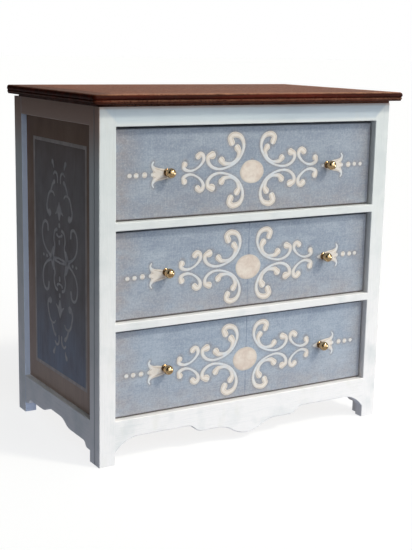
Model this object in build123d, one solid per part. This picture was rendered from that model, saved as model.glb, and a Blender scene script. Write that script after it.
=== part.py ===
from build123d import *
import os

# A doll's house chest of three drawers, built like a full-size one: a face frame and two panelled side
# frames carry dust boards, on which the drawers slide. All sizes are in millimetres.
# +Z is up and -Y is the front. The origin is on the floor, under the middle of the whole outline.

# ---- Driving dimensions: carcass ----
CARCASS_WIDTH = 76.0
CARCASS_DEPTH = 46.5
TOTAL_HEIGHT = 80.0
FACE_FRAME_THICKNESS = 2.3
SIDE_FRAME_THICKNESS = 2.8
STILE_WIDTH = 3.9                # face-frame stiles
TOP_RAIL_HEIGHT = 4.1
DIVIDER_HEIGHT = 1.8
OPENING_HEIGHT = 19.9
SIDE_FRONT_STILE = 2.6           # side-frame stile, just behind the face frame
SIDE_BACK_STILE = 4.3
SIDE_TOP_RAIL_HEIGHT = 4.0
SIDE_APRON_TOP = 9.5
PANEL_THICKNESS = 1.0
PANEL_SETBACK = 1.35             # side panel's face behind the side frame's face
PANEL_GROOVE_DEPTH = 0.8
SIDE_TONGUE_BOTTOM = 4.2         # the side stiles are grooved from here up
BACK_THICKNESS = 1.5
BACK_PANEL_BOTTOM = 6.0
BOARD_THICKNESS = 1.2            # dust boards and bottom board
TENON_LENGTH = 1.5               # face-frame rails into the stiles
TENON_SHOULDER = 0.3             # a tenon is this much lower than its rail at its top and bottom
TENON_THICKNESS = 0.9
EDGE_ROUND = 0.2                 # softened edges, rounded after each frame is glued up
GUIDE_HEIGHT = 3.0
GUIDE_CLEARANCE = 0.05           # guide's face behind the line of the stile's inner edge

# ---- Top ----
TOP_THICKNESS = 2.0
TOP_OVERHANG_SIDE = 2.4
TOP_OVERHANG_FRONT = 2.5
TOP_BACK_GAP = 0.6               # the top board stops this far short of the back
TOP_BACK_ROUND = 0.7             # its upper back edge is rounded over
TOP_CORNER_RADIUS = 1.0
NOSE_RADIUS = 0.75               # the rounded upper edge of the moulding
NOSE_FACE = 0.1                  # flat face under the nose
COVE_FILLET = 0.1                # small step into the cove
COVE_RADIUS = 0.28
BEAD_RADIUS = 0.28
SUB_TOP_THICKNESS = 0.6
SUB_TOP_PROUD = 0.3              # in front of the carcass and beyond its sides
SUB_TOP_BACK_GAP = 2.6           # the sub-top stops this far short of the back

# ---- Front apron's lower edge: heights, and distances from the middle ----
FRONT_ARCH_HEIGHT = 5.9
FRONT_ARCH_FOOT = 2.8            # height at which the arch meets the foot
FRONT_ARCH_RUN = 6.0             # arch's length, measured from the foot
FRONT_FLAT_INNER = 16.0          # the flat under the arch ends here
FRONT_LEDGE_HEIGHT = 4.2
FRONT_LEDGE_OUTER = 12.2
FRONT_LEDGE_INNER = 8.0
FRONT_DROP_HEIGHT = 1.8          # lowest point, in the middle

# ---- Side aprons' lower edge: heights, and distances from the foot or from the middle ----
SIDE_TOE_HEIGHT = 2.5
SIDE_TOE_RUN = 1.2
SIDE_STEP_RUN = 2.3
SIDE_FLAT_HEIGHT = 3.8
SIDE_RISE_OUTER = 8.4
SIDE_RISE_INNER = 2.3
SIDE_MIDDLE_HEIGHT = 5.4

# ---- Drawers ----
DRAWER_NAMES = ("bottom", "middle", "top")
DRAWER_SETBACK = 1.5             # drawer front's face behind the face frame
DRAWER_FRONT_THICKNESS = 2.2
DRAWER_WALL = 1.5                # sides and back
DRAWER_SIDE_DROP = 1.6           # the sides and back are this much lower than the front
DRAWER_BOTTOM_THICKNESS = 1.0
DRAWER_BOTTOM_LIFT = 0.8         # bottom board above the lower edges of the sides
DRAWER_GROOVE_DEPTH = 0.5
DRAWER_BACK_SPACE = 1.5          # free space behind the closed drawer
GAP_SIDE = 0.3                   # drawer front to stile
GAP_TOP = 0.35                   # drawer front to the rail above it
GAP_BOTTOM = 0.1                 # drawer to the board it slides on
DRAWER_EDGE_ROUND = 0.15         # softened front edges of a drawer front

# ---- Knobs: distances along the axis are measured forwards from the drawer's face ----
KNOB_SPACING = 42.6
KNOB_RISE = 0.1                  # knob above the middle of the drawer front
KNOB_HOLE_DIAMETER = 0.84
SHANK_DIAMETER = 0.8
FLANGE_DIAMETER = 1.7
FLANGE_THICKNESS = 0.3
NECK_DIAMETER = 1.0
NECK_START = 0.4
COLLAR_DIAMETER = 1.2
COLLAR_CENTRE = 0.58
BALL_DIAMETER = 2.2
BALL_CENTRE = 1.75

FORWARDS = (0, -1, 0)
BACKWARDS = (0, 1, 0)
RIGHTWARDS = (1, 0, 0)
UPWARDS = (0, 0, 1)
TINY = 0.001

# ---- Places worked out from them ----
X_SIDE = CARCASS_WIDTH / 2
X_OPENING = X_SIDE - STILE_WIDTH
X_SIDE_INNER = X_SIDE - SIDE_FRAME_THICKNESS
X_PANEL_OUTER = X_SIDE - PANEL_SETBACK
X_PANEL_INNER = X_PANEL_OUTER - PANEL_THICKNESS
X_TOP = X_SIDE + TOP_OVERHANG_SIDE
Y_BACK = (CARCASS_DEPTH + TOP_OVERHANG_FRONT) / 2
Y_FACE = Y_BACK - CARCASS_DEPTH
Y_TOP_FRONT = Y_FACE - TOP_OVERHANG_FRONT
Y_TOP_BACK = Y_BACK - TOP_BACK_GAP
Y_BEHIND_FACE = Y_FACE + FACE_FRAME_THICKNESS
Y_BACK_PANEL = Y_BACK - BACK_THICKNESS
Y_SIDE_FRONT = Y_BEHIND_FACE + SIDE_FRONT_STILE
Y_SIDE_BACK = Y_BACK - SIDE_BACK_STILE
Z_SUB_TOP = TOTAL_HEIGHT - TOP_THICKNESS - SUB_TOP_THICKNESS
Z_TOP_BOARD = TOTAL_HEIGHT - TOP_THICKNESS
Z_TOP_RAIL = Z_SUB_TOP - TOP_RAIL_HEIGHT
Z_SIDE_TOP_RAIL = Z_SUB_TOP - SIDE_TOP_RAIL_HEIGHT
DRAWER_PITCH = OPENING_HEIGHT + DIVIDER_HEIGHT
SLIDE_LEVELS = [Z_TOP_RAIL - OPENING_HEIGHT - DRAWER_PITCH * step for step in (2, 1, 0)]
Z_APRON_TOP = SLIDE_LEVELS[0]

APRON_END_HEIGHTS = (FRONT_ARCH_FOOT, Z_APRON_TOP)
RAIL_HEIGHTS = [(level - DIVIDER_HEIGHT, level) for level in SLIDE_LEVELS[1:]] + [(Z_TOP_RAIL, Z_SUB_TOP)]

SPAN_FRAME = (Y_FACE, Y_BEHIND_FACE)
SPAN_SIDE_OPENING = (Y_SIDE_FRONT, Y_SIDE_BACK)
SPAN_BOARDS = (Y_BEHIND_FACE, Y_BACK_PANEL)
SPAN_PANEL = (Y_SIDE_FRONT - PANEL_GROOVE_DEPTH, Y_SIDE_BACK + PANEL_GROOVE_DEPTH)
SPAN_PANEL_THICKNESS = (X_PANEL_INNER, X_PANEL_OUTER)
SPAN_SIDE_FRAME = (X_SIDE_INNER, X_SIDE)


# ---- Helpers ----
def board(x_range, y_range, z_range):
    """A rectangular board between the given limits."""
    ranges = (x_range, y_range, z_range)
    size = [high - low for low, high in ranges]
    centre = [(high + low) / 2 for low, high in ranges]
    return Pos(*centre) * Box(*size)


def both_ways(half):
    """The range that reaches equally far to the left and to the right."""
    return (-half, half)


def on_side(right_shape, side):
    """The shape as drawn on the right, or its mirror image on the left."""
    if side == "right":
        return right_shape
    return mirror(right_shape, about=Plane.YZ)


def facing_front(y, z=0):
    """A drawing plane that faces forwards, with its own x to the right and its y upwards."""
    return Plane((0, y, z), x_dir=RIGHTWARDS, z_dir=FORWARDS)


def facing_right(x, y, z=0):
    """A drawing plane that faces right, with its own x to the back and its y upwards."""
    return Plane((x, y, z), x_dir=BACKWARDS, z_dir=RIGHTWARDS)


def ogee(start, end):
    """An S-curve that is level at both ends, made of two equal arcs."""
    middle = ((start[0] + end[0]) / 2, (start[1] + end[1]) / 2)
    direction = 1 if end[0] > start[0] else -1
    first = TangentArc(start, middle, tangent=(direction, 0))
    second = TangentArc(end, middle, tangent=(-direction, 0))
    return first + second


def symmetrical_face(right_half):
    """The face inside an outline, from the half of it that is on the right."""
    return make_face(right_half + mirror(right_half, about=Plane.YZ))


def softened(glued_frame, outer_face):
    """The frame with the edges of its outer face rounded, except at the floor and under the top."""
    kept_sharp = (0, Z_SUB_TOP)
    edges = [edge for edge in outer_face.edges() if not lies_level_at(edge, kept_sharp)]
    return fillet(edges, EDGE_ROUND)


def lies_level_at(edge, heights):
    """Whether the whole edge is at one of these heights."""
    low, high = edge.bounding_box().min.Z, edge.bounding_box().max.Z
    return any(abs(low - height) < TINY and abs(high - height) < TINY for height in heights)


# ---- Face frame ----
def face_stile_blank():
    """The right-hand stile, which is also the front of a foot."""
    return board((X_OPENING, X_SIDE), SPAN_FRAME, (0, Z_SUB_TOP))


def face_rail_blank(z_range):
    return board(both_ways(X_OPENING), SPAN_FRAME, z_range)


def front_apron_blank():
    """The lowest rail, with an arch beside each foot, a ledge and a drop in the middle."""
    arch_end = (X_OPENING - FRONT_ARCH_RUN, FRONT_ARCH_HEIGHT)
    foot = (X_OPENING, FRONT_ARCH_FOOT)
    flat_end = (FRONT_FLAT_INNER, FRONT_ARCH_HEIGHT)
    ledge_start = (FRONT_LEDGE_OUTER, FRONT_LEDGE_HEIGHT)
    ledge_end = (FRONT_LEDGE_INNER, FRONT_LEDGE_HEIGHT)
    half = Polyline((0, Z_APRON_TOP), (X_OPENING, Z_APRON_TOP), foot)
    half += TangentArc(arch_end, foot, tangent=(1, 0))
    half += Line(arch_end, flat_end)
    half += ogee(flat_end, ledge_start)
    half += Line(ledge_start, ledge_end)
    half += ogee(ledge_end, (0, FRONT_DROP_HEIGHT))
    back_face = facing_front(Y_BEHIND_FACE) * symmetrical_face(half)
    return extrude(back_face, FACE_FRAME_THICKNESS, dir=FORWARDS)


def softened_face_frame():
    """The face frame as glued up and rounded, before it is thought of as pieces again."""
    glued = face_stile_blank() + on_side(face_stile_blank(), "left") + front_apron_blank()
    for z_range in RAIL_HEIGHTS:
        glued += face_rail_blank(z_range)
    return softened(glued, glued.faces().sort_by(Axis.Y)[0])


def tenon(z_range):
    """The right-hand tenon of a face-frame rail that fills z_range."""
    middle = (Y_FACE + Y_BEHIND_FACE) / 2
    thickness = (middle - TENON_THICKNESS / 2, middle + TENON_THICKNESS / 2)
    height = (z_range[0] + TENON_SHOULDER, z_range[1] - TENON_SHOULDER)
    return board((X_OPENING, X_OPENING + TENON_LENGTH), thickness, height)


def face_rail(frame, blank, z_range):
    """The part of the frame inside the blank, with a tenon at each end."""
    return (frame & blank) + tenon(z_range) + on_side(tenon(z_range), "left")


def face_stile(frame, side):
    """A stile, with a mortise for each rail's tenon."""
    mortises = [tenon(z_range) for z_range in [APRON_END_HEIGHTS] + RAIL_HEIGHTS]
    stile = frame & on_side(face_stile_blank(), side)
    for mortise in mortises:
        stile -= on_side(mortise, side)
    return stile


def face_frame_pieces():
    frame = softened_face_frame()
    lower_divider, upper_divider, top_rail = RAIL_HEIGHTS
    return {
        "top_rail": face_rail(frame, face_rail_blank(top_rail), top_rail),
        "upper_divider": face_rail(frame, face_rail_blank(upper_divider), upper_divider),
        "lower_divider": face_rail(frame, face_rail_blank(lower_divider), lower_divider),
        "front_apron": face_rail(frame, front_apron_blank(), APRON_END_HEIGHTS),
        "left_face_stile": face_stile(frame, "left"),
        "right_face_stile": face_stile(frame, "right"),
    }


# ---- Side frames, drawn on the right ----
def side_apron_blank():
    """The lowest rail, with a toe and a step by each foot and a low arch in the middle."""
    half_span = (Y_SIDE_BACK - Y_SIDE_FRONT) / 2
    toe_end = (half_span - SIDE_TOE_RUN, SIDE_TOE_HEIGHT)
    step_end = (toe_end[0] - SIDE_STEP_RUN, SIDE_FLAT_HEIGHT)
    rise_start = (SIDE_RISE_OUTER, SIDE_FLAT_HEIGHT)
    rise_end = (SIDE_RISE_INNER, SIDE_MIDDLE_HEIGHT)
    corner = (half_span, SIDE_APRON_TOP)
    half = Polyline((0, SIDE_APRON_TOP), corner, (half_span, SIDE_TOE_HEIGHT), toe_end)
    half += ogee(toe_end, step_end)
    half += Line(step_end, rise_start)
    half += ogee(rise_start, rise_end)
    half += Line(rise_end, (0, SIDE_MIDDLE_HEIGHT))
    inner_face = facing_right(X_SIDE_INNER, (Y_SIDE_FRONT + Y_SIDE_BACK) / 2) * symmetrical_face(half)
    return extrude(inner_face, SIDE_FRAME_THICKNESS, dir=RIGHTWARDS)


def side_blanks():
    """The side frame's four members, before their edges are rounded and their joints are cut."""
    return {
        "front_stile": board(SPAN_SIDE_FRAME, (Y_BEHIND_FACE, Y_SIDE_FRONT), (0, Z_SUB_TOP)),
        "back_stile": board(SPAN_SIDE_FRAME, (Y_SIDE_BACK, Y_BACK), (0, Z_SUB_TOP)),
        "top_rail": board(SPAN_SIDE_FRAME, SPAN_SIDE_OPENING, (Z_SIDE_TOP_RAIL, Z_SUB_TOP)),
        "apron": side_apron_blank(),
    }


def softened_side_frame(blanks):
    glued = blanks["front_stile"] + blanks["back_stile"] + blanks["top_rail"] + blanks["apron"]
    return softened(glued, glued.faces().sort_by(Axis.X)[-1])


def side_panel():
    """The panel, out to the bottoms of the grooves that hold it."""
    heights = (SIDE_APRON_TOP - PANEL_GROOVE_DEPTH, Z_SIDE_TOP_RAIL + PANEL_GROOVE_DEPTH)
    return board(SPAN_PANEL_THICKNESS, SPAN_PANEL, heights)


def stile_groove():
    """The space between the stiles which takes the panel's edges and the rails' tongues."""
    return board(SPAN_PANEL_THICKNESS, SPAN_PANEL, (SIDE_TONGUE_BOTTOM, Z_SUB_TOP))


def with_tongues(rail, z_range):
    """A side-frame rail with a tongue at each end."""
    rail += board(SPAN_PANEL_THICKNESS, (SPAN_PANEL[0], Y_SIDE_FRONT), z_range)
    return rail + board(SPAN_PANEL_THICKNESS, (Y_SIDE_BACK, SPAN_PANEL[1]), z_range)


def side_frame_pieces(side):
    blanks = side_blanks()
    frame = softened_side_frame(blanks)
    panel = side_panel()
    top_tongue = (Z_SIDE_TOP_RAIL + PANEL_GROOVE_DEPTH, Z_SUB_TOP)
    apron_tongue = (SIDE_TONGUE_BOTTOM, SIDE_APRON_TOP - PANEL_GROOVE_DEPTH)
    pieces = {
        "side_front_stile": (frame & blanks["front_stile"]) - stile_groove(),
        "side_back_stile": (frame & blanks["back_stile"]) - stile_groove(),
        "side_top_rail": with_tongues((frame & blanks["top_rail"]) - panel, top_tongue),
        "side_apron": with_tongues((frame & blanks["apron"]) - panel, apron_tongue),
        "side_panel": panel,
    }
    return {f"{side}_{name}": on_side(piece, side) for name, piece in pieces.items()}


# ---- Boards inside the carcass ----
def back_panel():
    return board(both_ways(X_SIDE_INNER), (Y_BACK_PANEL, Y_BACK), (BACK_PANEL_BOTTOM, Z_SUB_TOP))


def slide_board(level):
    """A board whose upper face is at the level that a drawer slides on."""
    return board(both_ways(X_SIDE_INNER), SPAN_BOARDS, (level - BOARD_THICKNESS, level))


def drawer_guide(level, side):
    """A strip that fills the space between the side frame and the drawer."""
    guide = board((X_OPENING + GUIDE_CLEARANCE, X_SIDE_INNER), SPAN_BOARDS, (level, level + GUIDE_HEIGHT))
    return on_side(guide, side)


# ---- Top ----
def sub_top():
    depth = (Y_FACE - SUB_TOP_PROUD, Y_BACK - SUB_TOP_BACK_GAP)
    return board(both_ways(X_SIDE + SUB_TOP_PROUD), depth, (Z_SUB_TOP, Z_TOP_BOARD))


def moulding():
    """The top board's moulded edge: nose, fillet, cove and bead, for an edge that faces +X at x = 0."""
    nose_start = (-NOSE_RADIUS, TOP_THICKNESS)
    nose_end = (0, TOP_THICKNESS - NOSE_RADIUS)
    face_end = (0, nose_end[1] - NOSE_FACE)
    cove_start = (-COVE_FILLET, face_end[1])
    cove_end = (-COVE_FILLET - COVE_RADIUS, face_end[1] - COVE_RADIUS)
    bead_end = (cove_end[0], cove_end[1] - 2 * BEAD_RADIUS)
    edge = TangentArc(nose_start, nose_end, tangent=(1, 0))
    edge += Polyline(nose_end, face_end, cove_start)
    edge += TangentArc(cove_start, cove_end, tangent=(-1, 0))
    edge += TangentArc(cove_end, bead_end, tangent=(1, 0))
    return edge + Line(bead_end, (bead_end[0], 0))


def top_board():
    """The front and side mouldings are run the full length, and meet in mitres; the back is rounded over."""
    top_flat = X_TOP - NOSE_RADIUS
    under_flat = X_TOP - COVE_FILLET - COVE_RADIUS
    half = Line((0, TOP_THICKNESS), (top_flat, TOP_THICKNESS)) + Pos(X_TOP, 0) * moulding()
    half += Line((under_flat, 0), (0, 0))
    across = facing_front(Y_TOP_BACK, Z_TOP_BOARD) * symmetrical_face(half)
    depth = Y_TOP_BACK - Y_TOP_FRONT
    across = extrude(across, depth, dir=FORWARDS)

    nose_start = (Y_TOP_FRONT + NOSE_RADIUS, TOP_THICKNESS)
    round_start = (Y_TOP_BACK - TOP_BACK_ROUND, TOP_THICKNESS)
    round_end = (Y_TOP_BACK, TOP_THICKNESS - TOP_BACK_ROUND)
    bead_foot = (Y_TOP_FRONT + COVE_FILLET + COVE_RADIUS, 0)
    section = Pos(Y_TOP_FRONT, 0) * mirror(moulding(), about=Plane.YZ)
    section += Line(nose_start, round_start) + TangentArc(round_start, round_end, tangent=(1, 0))
    section += Polyline(round_end, (Y_TOP_BACK, 0), bead_foot)
    along = facing_right(-X_TOP, 0, Z_TOP_BOARD) * make_face(section)
    along = extrude(along, 2 * X_TOP, dir=RIGHTWARDS)

    outline = fillet(Rectangle(2 * X_TOP, depth).vertices(), TOP_CORNER_RADIUS)
    middle = (Y_TOP_FRONT + Y_TOP_BACK) / 2
    rounded = extrude(Pos(0, middle, Z_TOP_BOARD) * outline, TOP_THICKNESS, dir=UPWARDS)
    return across & along & rounded


# ---- Drawers ----
def drawer_places(level):
    """The limits that a drawer's pieces share, for the drawer that slides at this level."""
    face = Y_FACE + DRAWER_SETBACK
    outer = X_OPENING - GAP_SIDE
    low = level + GAP_BOTTOM
    front_top = level + OPENING_HEIGHT - GAP_TOP
    bottom = low + DRAWER_BOTTOM_LIFT
    return {
        "face": face,
        "inside_front": face + DRAWER_FRONT_THICKNESS,
        "end": Y_BACK_PANEL - DRAWER_BACK_SPACE,
        "outer": outer,
        "inner": outer - DRAWER_WALL,
        "low": low,
        "front_top": front_top,
        "side_top": front_top - DRAWER_SIDE_DROP,
        "bottom_board": (bottom, bottom + DRAWER_BOTTOM_THICKNESS),
    }


def knob_heights(place):
    return (place["low"] + place["front_top"]) / 2 + KNOB_RISE


def bottom_board_blank(place):
    """The drawer's bottom, out to the ends of the grooves that hold it."""
    reach = place["inner"] + DRAWER_GROOVE_DEPTH
    length = (place["inside_front"] - DRAWER_GROOVE_DEPTH, place["end"])
    return board(both_ways(reach), length, place["bottom_board"])


def drawer_front(place):
    depth = (place["face"], place["inside_front"])
    front = board(both_ways(place["outer"]), depth, (place["low"], place["front_top"]))
    face_edges = front.faces().sort_by(Axis.Y)[0].edges()
    front = fillet(face_edges, DRAWER_EDGE_ROUND) - bottom_board_blank(place)
    for x in (-KNOB_SPACING / 2, KNOB_SPACING / 2):
        hole = Cylinder(KNOB_HOLE_DIAMETER / 2, 2 * DRAWER_FRONT_THICKNESS, rotation=(90, 0, 0))
        front -= Pos(x, place["inside_front"], knob_heights(place)) * hole
    return front


def drawer_side(place, side):
    length = (place["inside_front"], place["end"])
    wall = board((place["inner"], place["outer"]), length, (place["low"], place["side_top"]))
    return on_side(wall - bottom_board_blank(place), side)


def drawer_back(place):
    """The back stands on the bottom board, between the sides."""
    thickness = (place["end"] - DRAWER_WALL, place["end"])
    return board(both_ways(place["inner"]), thickness, (place["bottom_board"][1], place["side_top"]))


def knob_outline():
    """Half of the turned knob's section: x is the radius and y the distance in front of the drawer's face."""
    ball_radius = BALL_DIAMETER / 2
    neck = NECK_DIAMETER / 2
    collar = COLLAR_DIAMETER / 2
    collar_half = collar - neck
    ball_start = BALL_CENTRE - (ball_radius ** 2 - neck ** 2) ** 0.5
    outline = Polyline(
        (0, -DRAWER_FRONT_THICKNESS),
        (SHANK_DIAMETER / 2, -DRAWER_FRONT_THICKNESS),
        (SHANK_DIAMETER / 2, 0),
        (FLANGE_DIAMETER / 2, 0),
        (FLANGE_DIAMETER / 2, FLANGE_THICKNESS / 2),
    )
    outline += TangentArc((FLANGE_DIAMETER / 2, FLANGE_THICKNESS / 2), (neck, NECK_START), tangent=(0, 1))
    outline += Line((neck, NECK_START), (neck, COLLAR_CENTRE - collar_half))
    outline += ThreePointArc(
        (neck, COLLAR_CENTRE - collar_half), (collar, COLLAR_CENTRE), (neck, COLLAR_CENTRE + collar_half)
    )
    outline += Line((neck, COLLAR_CENTRE + collar_half), (neck, ball_start))
    outline += ThreePointArc((neck, ball_start), (ball_radius, BALL_CENTRE), (0, BALL_CENTRE + ball_radius))
    return outline + Line((0, BALL_CENTRE + ball_radius), (0, -DRAWER_FRONT_THICKNESS))


def knob(place, side):
    turned = revolve(make_face(knob_outline()), Axis.Y)
    forwards = Pos(KNOB_SPACING / 2, place["face"], knob_heights(place)) * Rot(0, 0, 180) * turned
    return on_side(forwards, side)


# ---- All the pieces, by name ----
def carcass_pieces():
    pieces = {
        "top_board": top_board(),
        "sub_top": sub_top(),
        "back_panel": back_panel(),
        "bottom_board": slide_board(SLIDE_LEVELS[0]),
        "lower_dust_board": slide_board(SLIDE_LEVELS[1]),
        "upper_dust_board": slide_board(SLIDE_LEVELS[2]),
    }
    pieces.update(face_frame_pieces())
    for side in ("left", "right"):
        pieces.update(side_frame_pieces(side))
        for name, level in zip(DRAWER_NAMES, SLIDE_LEVELS):
            pieces[f"{name}_{side}_drawer_guide"] = drawer_guide(level, side)
    return pieces


def drawer_pieces(name, level):
    place = drawer_places(level)
    pieces = {
        f"{name}_drawer_front": drawer_front(place),
        f"{name}_drawer_back": drawer_back(place),
        f"{name}_drawer_bottom": bottom_board_blank(place),
    }
    for side in ("left", "right"):
        pieces[f"{name}_drawer_{side}_side"] = drawer_side(place, side)
        pieces[f"{name}_drawer_{side}_knob"] = knob(place, side)
    return pieces


all_pieces = carcass_pieces()
for drawer_name, slide_level in zip(DRAWER_NAMES, SLIDE_LEVELS):
    all_pieces.update(drawer_pieces(drawer_name, slide_level))

os.makedirs("parts", exist_ok=True)
for node, piece in all_pieces.items():
    export_step(piece, f"parts/{node}.step")
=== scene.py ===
import random
from math import asin, copysign, cos, degrees, radians, sin, sqrt, tau

import bmesh
import bpy
from mathutils import Euler, Matrix, Vector, kdtree, noise


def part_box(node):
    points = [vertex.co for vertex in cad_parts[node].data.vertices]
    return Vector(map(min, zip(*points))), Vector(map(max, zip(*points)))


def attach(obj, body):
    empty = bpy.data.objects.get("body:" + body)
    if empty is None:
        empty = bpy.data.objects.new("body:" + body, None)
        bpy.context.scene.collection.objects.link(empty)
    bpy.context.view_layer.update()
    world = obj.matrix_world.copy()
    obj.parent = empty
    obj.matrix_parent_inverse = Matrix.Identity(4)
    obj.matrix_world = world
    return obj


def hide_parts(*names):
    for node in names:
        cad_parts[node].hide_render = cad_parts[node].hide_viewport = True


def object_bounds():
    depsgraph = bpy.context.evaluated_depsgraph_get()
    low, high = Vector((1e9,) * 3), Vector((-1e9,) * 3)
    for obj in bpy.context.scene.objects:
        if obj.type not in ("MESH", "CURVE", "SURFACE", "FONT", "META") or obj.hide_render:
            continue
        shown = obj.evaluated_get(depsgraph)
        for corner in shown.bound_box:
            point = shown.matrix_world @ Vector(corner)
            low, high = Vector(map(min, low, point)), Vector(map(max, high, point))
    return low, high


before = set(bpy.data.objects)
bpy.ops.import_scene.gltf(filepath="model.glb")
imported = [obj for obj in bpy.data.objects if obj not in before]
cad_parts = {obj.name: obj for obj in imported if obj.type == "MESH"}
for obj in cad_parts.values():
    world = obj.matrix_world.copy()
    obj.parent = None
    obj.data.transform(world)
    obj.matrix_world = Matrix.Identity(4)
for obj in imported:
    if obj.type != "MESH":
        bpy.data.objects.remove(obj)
cad_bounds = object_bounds()

# A doll's house chest of drawers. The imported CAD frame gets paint, stencilled scrolls, a moulded stained top
# and turned brass knobs. Z is up and -Y is the front. Lengths are in millimetres; MM turns them into metres.
MM = 0.001
DRAWERS = ("bottom", "middle", "top")
SIDES = ("left", "right")


def in_mm(box):
    """The lower and the upper corner of a box, in millimetres."""
    return [Vector(corner) / MM for corner in box]


# ---- Places on the frame ----
HIGHEST = in_mm(cad_bounds)[1]
TOP_LOW, TOP_HIGH = in_mm(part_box("top_board"))
SUB_LOW, SUB_HIGH = in_mm(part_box("sub_top"))
STILE_LOW, STILE_HIGH = in_mm(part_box("left_face_stile"))
FRAME_HALF = -STILE_LOW.x  # half the width of the face frame
SIDE_JOINT = STILE_HIGH.y + 0.1  # where the side frames meet the face frame
BACK_STILE_FRONT = in_mm(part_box("left_side_back_stile"))[0].y
TOP_RAIL_LOW = in_mm(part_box("top_rail"))[0].z
PANEL_LOW, PANEL_HIGH = in_mm(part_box("right_side_panel"))
PANEL_MIDDLE = (PANEL_LOW + PANEL_HIGH) / 2
FRONT_LOW, FRONT_HIGH = in_mm(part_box("bottom_drawer_front"))
DRAWER_LOW = FRONT_LOW.z
DRAWER_FACE = FRONT_LOW.y
DRAWER_HALF = FRONT_HIGH.x  # half the width of a drawer front, and of its opening
DRAWER_HEIGHT = FRONT_HIGH.z - FRONT_LOW.z
DRAWER_PITCH = in_mm(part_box("middle_drawer_front"))[0].z - DRAWER_LOW
TOP_DRAWER_LOW = DRAWER_LOW + 2 * DRAWER_PITCH


# ---- Mesh helpers ----
CREASE = 38  # edges sharper than this stay crisp, in degrees


def new_object(name, data):
    """Puts a mesh, a light or a camera in the scene."""
    thing = bpy.data.objects.new(name, data)
    bpy.context.scene.collection.objects.link(thing)
    return thing


def new_piece(name, mesh, materials, body):
    """Turns a bmesh, drawn in millimetres, into a smooth piece that rides on a body."""
    bmesh.ops.recalc_face_normals(mesh, faces=mesh.faces)
    bmesh.ops.scale(mesh, vec=(MM, MM, MM), verts=mesh.verts)
    data = bpy.data.meshes.new(name)
    mesh.to_mesh(data)
    mesh.free()
    data.polygons.foreach_set("use_smooth", [True] * len(data.polygons))
    data.set_sharp_from_angle(angle=radians(CREASE))
    for material in materials:
        data.materials.append(material)
    piece = new_object(name, data)
    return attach(piece, body)


def loft(mesh, rings):
    """Adds a closed skin through rings of equally many points, and returns its vertices ring by ring."""
    rows = [[mesh.verts.new(point) for point in ring] for ring in rings]
    for row, following in zip(rows, rows[1:]):
        for here in range(len(row)):
            last = here - 1
            mesh.faces.new((row[last], row[here], following[here], following[last]))
    mesh.faces.new(rows[0])
    mesh.faces.new(rows[-1])
    return rows


def vertex_values(mesh, name):
    """The vertex attribute of this name, made where the mesh has none."""
    layers = mesh.verts.layers.float
    return layers.get(name) or layers.new(name)


def arc(centre, radius, start, end, steps):
    """Points on an arc; the angles are in degrees, anticlockwise from the first axis."""
    angles = [radians(start + (end - start) * step / steps) for step in range(steps + 1)]
    return [(centre[0] + radius * cos(a), centre[1] + radius * sin(a)) for a in angles]


def smooth_route(points, steps=6):
    """Points on a Catmull-Rom curve through the given ones."""
    points = [Vector(point) for point in points]
    padded = [2 * points[0] - points[1]] + points + [2 * points[-1] - points[-2]]
    route = []
    for a, b, c, d in zip(padded, padded[1:], padded[2:], padded[3:]):
        for step in range(steps):
            t = step / steps
            bend = (2 * a - 5 * b + 4 * c - d) * t ** 2 + (3 * b - a - 3 * c + d) * t ** 3
            route.append((2 * b + (c - a) * t + bend) / 2)
    return route + [points[-1]]


# ---- Material helpers ----
def screen(red, green, blue):
    """A linear colour from the values that a screen shows, 0 to 255."""
    def linear(value):
        value /= 255
        return value / 12.92 if value < 0.04045 else ((value + 0.055) / 1.055) ** 2.4
    return (linear(red), linear(green), linear(blue), 1.0)


def add_node(tree, kind, inputs=None, **settings):
    """Adds a shader node. An input takes a number, a colour or another node's output."""
    node = tree.nodes.new("ShaderNode" + kind)
    for name, value in settings.items():
        setattr(node, name, value)
    for socket, value in (inputs or {}).items():
        if isinstance(value, bpy.types.NodeSocket):
            tree.links.new(value, node.inputs[socket])
        else:
            node.inputs[socket].default_value = value
    return node


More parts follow.
